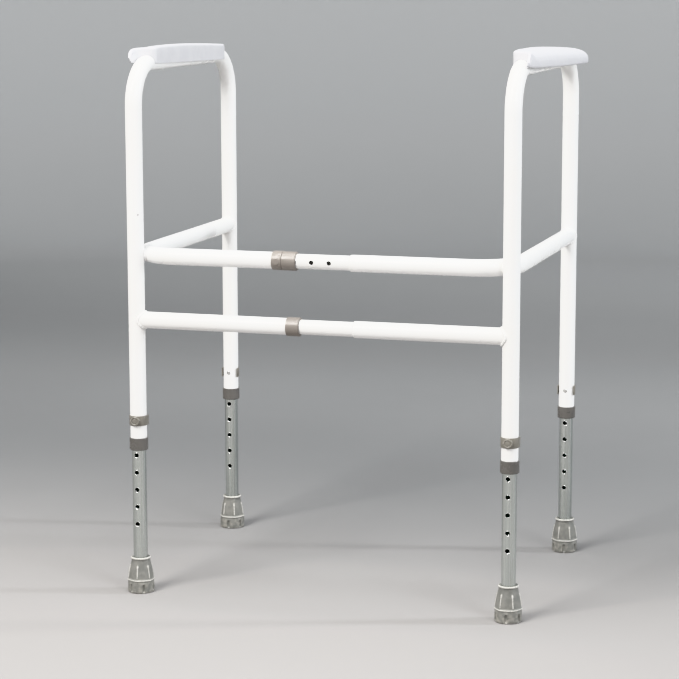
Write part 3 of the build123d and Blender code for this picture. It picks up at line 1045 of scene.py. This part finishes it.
def bandMesh():
    # in the clip's own axes: X across the tube, Y the pull direction, Z along the tube
    outer, bore, reach = clip["outer"], clip["bore"], clip["reach"]
    outline = [(outer, -reach)]
    for step in range(clip["arcSteps"] + 1):
        turn = pi * step / clip["arcSteps"]
        outline.append((outer * cos(turn), outer * sin(turn)))
    outline += [(-outer, -reach), (-bore, -reach)]
    for step in range(clip["arcSteps"], -1, -1):
        turn = pi * step / clip["arcSteps"]
        outline.append((bore * cos(turn), bore * sin(turn)))
    outline.append((bore, -reach))
    shape = bmesh.new()
    half = clip["width"] / 2
    low = [shape.verts.new((a / 1000, b / 1000, -half / 1000)) for a, b in outline]
    high = [shape.verts.new((a / 1000, b / 1000, half / 1000)) for a, b in outline]
    count = len(outline)
    middle = count // 2
    for index in range(count):
        after = (index + 1) % count
        shape.faces.new((low[index], low[after], high[after], high[index]))
    for index in range(middle - 1):
        near, far = index, count - 1 - index
        shape.faces.new((low[near], low[far], low[far - 1], low[near + 1]))
        shape.faces.new((high[near + 1], high[far - 1], high[far], high[near]))
    bmesh.ops.recalc_face_normals(shape, faces=shape.faces)
    mesh = bpy.data.meshes.new("band")
    shape.to_mesh(mesh)
    shape.free()
    return mesh


def buttonOutline():
    # a round button with a dished middle and a raised ring
    top, button, base = clip["outer"] + clip["rise"], clip["button"], clip["base"]
    outline = [(0, top - 0.5), (2.6, top - 0.5), (3.5, top - 0.75), (3.9, top - 0.95), (4.3, top - 0.75),
               (4.75, top - 0.12), (5.2, top), (5.7, top - 0.1), (6.2, top - 0.5), (button, top - 1.1),
               (button, base), (0, base)]
    return outline, {5: 0.8, 6: 1.0, 7: 0.8}, top - clip["pinCover"][0]


def bossOutline():
    # a low round boss over the pin, on the band without a button
    top, base = clip["outer"] + clip["bossRise"], clip["base"] + clip["bossSink"]
    outline = [(0, top), (4.2, top), (4.8, top - 0.2), (5.0, top - 0.5), (5.0, base), (0, base)]
    return outline, {}, clip["outer"] - clip["pinCover"][1]


def plainRod(start, end, radius, count):
    return holdTool(grow(tubeTree, {"Tube Radius": radius / 1000, "Sides": count, "Caps": True},
                         lineMesh([start, end])))


def makeClip(name, plastic, hasButton=True):
    pull = Vector(next(joint for joint in frame["joints"] if joint["child"] == name)["axis"])
    along = up if hasButton else Vector((1, 0, 0))  # the band without a button sits on the crossbar
    centre = Vector(middleOf(f"{name}_pin"))
    centre.y = layout["left"]["front"] if pull.y < 0 else layout["left"]["rear"]
    turn = Matrix((pull.cross(along), pull, along)).transposed().to_4x4()

    outline, marks, boreEnd = buttonOutline() if hasButton else bossOutline()
    head = turnedMesh(outline, marks, {"Segments": clip["sides"], "Material": plastic})
    head.transform(Matrix.Rotation(-pi / 2, 4, "X"))  # the head's axis turns from Z to the pull direction
    if hasButton:
        head.transform(Matrix.Diagonal((clip["stretch"], 1, 1, 1)))
    headTool = holdTool(head)
    half = clip["passage"] / 1000
    passage = plainRod((0, 0, -half), (0, 0, half), clip["bore"], clip["sides"])
    bore = plainRod((0, 0, 0), (0, boreEnd / 1000, 0), clip["pinBore"], clip["pinBoreSides"])
    band = bandMesh()
    band.materials.append(plastic)
    whole = shaped(band, [
        ("BEVEL", {"width": clip["rounding"] / 1000, "segments": clip["roundSteps"], "limit_method": "ANGLE",
                   "angle_limit": radians(40)}),
        ("BOOLEAN", {"operation": "UNION", "solver": "EXACT", "object": headTool}),
        cutWith(passage), cutWith(bore),
    ])
    dropTools(headTool, passage, bore)
    whole.transform(Matrix.Translation(centre) @ turn)
    pieceName = "".join(word.title() if index else word for index, word in enumerate(name.split("_")))
    addPiece(f"{pieceName}Band", whole, name, (f"{name}_band",), sharp=38)


for side in sides:
    for end in ends:
        makeClip(f"{side}_{end}_clip", clipPlastic)
makeClip("upper_bar_clip", barPlastic, hasButton=False)
print("clips made")


# armrest mouldings

# in millimetres; across is measured outwards from the tube's middle, and each table is (y, value)
pad = {
    "stations": 72, "evenShare": 0.45, "inner": -14.0, "front": -176.0, "back": 166.0, "innerRound": 3.4,
    "edge": ((-176, 13.5), (-172, 16.4), (-164, 18.3), (-120, 22), (-70, 26.8), (-20, 31), (30, 33.6), (80, 35),
             (140, 35), (155, 34), (162, 31), (166, 26)),
    "nose": ((-176, 12.8), (-167, 11.6), (-158, 9.5), (-153, 3.0), (-150, -6.0), (-146, -12), (-140, -14)),
    "crown": ((-176, 778.0), (-165, 781.5), (-140, 784.4), (-90, 785.2), (-20, 784.4), (60, 781.8), (120, 779.2),
              (166, 777.2)),
    "skirt": ((-176, 764.0), (-165, 762.4), (-140, 761.0), (-60, 759.0), (40, 757.0), (110, 755.6), (166, 755.0)),
    "backTuck": (15, 30), "frontDrop": (8, 9), "backDrop": (15, 20),  # each is (how far, over what length)
    "crownSide": 0.16, "crownFall": 0.03, "bulge": 0.2, "bulgeFall": 0.33, "sideHeight": 0.26,
    "roundSteps": 6, "crownSteps": 18, "gap": 0.45, "grooveFrom": 0.6,
}


def curveAt(table, y):
    # smooth curve through a short table of (y, value)
    if y <= table[0][0]:
        return table[0][1]
    for index in range(len(table) - 1):
        (y0, v0), (y1, v1) = table[index], table[index + 1]
        if y <= y1:
            before = table[index - 1] if index else (y0 - (y1 - y0), v0)
            after = table[index + 2] if index + 2 < len(table) else (y1 + (y1 - y0), v1)
            slope0 = (v1 - before[1]) / (y1 - before[0])
            slope1 = (after[1] - v0) / (after[0] - y0)
            span = y1 - y0
            t = (y - y0) / span
            return ((2 * t ** 3 - 3 * t ** 2 + 1) * v0 + (t ** 3 - 2 * t ** 2 + t) * span * slope0
                    + (3 * t ** 2 - 2 * t ** 3) * v1 + (t ** 3 - t ** 2) * span * slope1)
    return table[-1][1]


def bezier(a, b, c, d, t):
    s = 1 - t
    return tuple(s ** 3 * p + 3 * s * s * t * q + 3 * s * t * t * r + t ** 3 * w for p, q, r, w in zip(a, b, c, d))


def endRound(depth, reach):
    # 0 at the very end, 1 from reach inwards
    if depth >= reach:
        return 1.0
    return sqrt(max(0.0, 1 - (1 - depth / reach) ** 2))


def endFall(fall, depth):
    amount, reach = fall
    return amount * (1 - endRound(depth, reach))


def padSection(y):
    # one closed loop across the armrest: inner wall, rounded crown, outer flank and flat underside
    depthFront, depthBack = y - pad["front"], pad["back"] - y
    inner = max(pad["inner"], curveAt(pad["nose"], y)) + endFall(pad["backTuck"], depthBack)
    outer = curveAt(pad["edge"], y)
    top = curveAt(pad["crown"], y) - endFall(pad["frontDrop"], depthFront) - endFall(pad["backDrop"], depthBack)
    low = curveAt(pad["skirt"], y)
    corner = pad["innerRound"]
    height = top - low
    inset = (outer - inner) * pad["crownSide"]
    loop = [(inner, low), (inner, low + height * 0.3), (inner, low + height * 0.6), (inner, top - corner)]
    for step in range(1, pad["roundSteps"] + 1):
        turn = pi / 2 * step / pad["roundSteps"]
        loop.append((inner + corner - corner * cos(turn), top - corner + corner * sin(turn)))
    start = (inner + corner + inset, top)
    loop.append(start)
    shoulder = (outer - inset, top - height * pad["crownFall"])
    bulge = (outer + pad["bulge"], top - height * pad["bulgeFall"])
    flank = (outer, low + height * pad["sideHeight"])
    for step in range(1, pad["crownSteps"] + 1):
        loop.append(bezier(start, shoulder, bulge, flank, step / pad["crownSteps"]))
    loop += [(outer - 0.05, low + 3.2), (outer - 0.3, low + 1.6), (outer - 0.9, low + 0.5), (outer - 2.0, low)]
    span = loop[-1][0] - inner
    loop += [(inner + span * share, low) for share in (0.8, 0.6, 0.4, 0.2)]
    return loop


def makePad(side):
    sign = sides[side]
    place = layout[side]
    x = place["x"] * 1000
    shape = bmesh.new()
    rings = []
    for station in range(pad["stations"] + 1):
        # stations lie closer together at the ends
        share = 0.5 - 0.5 * cos(pi * station / pad["stations"])
        share = (1 - pad["evenShare"]) * share + pad["evenShare"] * station / pad["stations"]
        y = pad["front"] + (pad["back"] - pad["front"]) * share
        ring = [shape.verts.new(((x + sign * a) / 1000, y / 1000, z / 1000)) for a, z in padSection(y)]
        rings.append(ring)
    for ringA, ringB in zip(rings, rings[1:]):
        for index in range(len(ringA)):
            after = (index + 1) % len(ringA)
            shape.faces.new((ringA[index], ringA[after], ringB[after], ringB[index]))
    shape.faces.new(rings[0])
    shape.faces.new(rings[-1])
    bmesh.ops.recalc_face_normals(shape, faces=shape.faces)
    mesh = bpy.data.meshes.new("pad")
    shape.to_mesh(mesh)
    shape.free()
    mesh.materials.append(padPlastic)
    points = [(place["x"], place["front"], pad["grooveFrom"]), (place["x"], place["front"], place["top"]),
              (place["x"], place["rear"], place["top"]), (place["x"], place["rear"], pad["grooveFrom"])]
    bore = place["radius"] + pad["gap"] / 1000
    groove = holdTool(tubeMesh(points, (1, 2), frameTube["armBend"], bore, caps=True))
    whole = shaped(mesh, [cutWith(groove)])
    dropTools(groove)
    whole.materials.clear()
    whole.materials.append(padPlastic)
    addPiece(f"{side}ArmPad", whole, f"{side}_frame", (f"{side}_arm_pad",), sharp=42)


# in millimetres, heights above the underside of the tube
screw = {
    "head": 3.9, "dome": 1.1, "shank": 1.9, "tip": 26.5, "sides": 48, "recess": 4.2, "recessWidth": 0.9,
    "recessFrom": -3.0, "recessDepth": 2.7,
}


def recessTool(x, y, seat):
    arm, half = screw["recess"] / 2000, screw["recessWidth"] / 2000
    cross = [(arm, half), (half, half), (half, arm), (-half, arm), (-half, half), (-arm, half),
             (-arm, -half), (-half, -half), (-half, -arm), (half, -arm), (half, -half), (arm, -half)]
    shape = bmesh.new()
    base = seat + screw["recessFrom"] / 1000
    face = shape.faces.new([shape.verts.new((x + a, y + b, base)) for a, b in cross])
    lifted = bmesh.ops.extrude_face_region(shape, geom=[face])["geom"]
    moved = [vert for vert in lifted if isinstance(vert, bmesh.types.BMVert)]
    bmesh.ops.translate(shape, vec=(0, 0, screw["recessDepth"] / 1000), verts=moved)
    bmesh.ops.recalc_face_normals(shape, faces=shape.faces)
    mesh = bpy.data.meshes.new("recess")
    shape.to_mesh(mesh)
    shape.free()
    return holdTool(mesh)


def makeScrews(side):
    low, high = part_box(f"{side}_pad_screws")
    place = layout[side]
    x, seat = place["x"], place["top"] - place["radius"]
    head, dome, shank, tip = screw["head"], screw["dome"], screw["shank"], screw["tip"]
    outline = [(0, -dome), (head * 0.45, -dome * 0.93), (head * 0.75, -dome * 0.68), (head * 0.94, -dome * 0.3),
               (head, 0.1), (head, 0.75), (head - 0.2, 0.95), (shank, 1.0), (shank, tip - 1.2), (shank - 1.0, tip),
               (0, tip)]
    screws = []
    for y in (low.y + head / 1000, high.y - head / 1000):
        plain = turnedMesh(outline, {}, {"Segments": screw["sides"], "Centre": (x, y, seat), "Material": zincPlate})
        tool = recessTool(x, y, seat)
        screws.append(shaped(plain, [cutWith(tool)]))
        dropTools(tool)
    name = f"{side}_pad_screws"
    addPiece(f"{side}PadScrews", joinMeshes(screws, "screws"), f"{side}_frame", (name,))


for side in sides:
    makePad(side)
    makeScrews(side)
print("armrest mouldings and their screws made")


# finishes on the CAD parts that stay as they are

def coat(name, material):
    mesh = nodes[name].data
    mesh.materials.clear()
    mesh.materials.append(material)


for name in nodes:
    if name.endswith("_bar_collar"):
        coat(name, barPlastic)
    elif name.endswith("_collar"):
        coat(name, paintedShadeCollarPlastic)
    elif name.endswith(("_pin", "_washer")):
        coat(name, zincPlate)
print("carried-over parts coated")
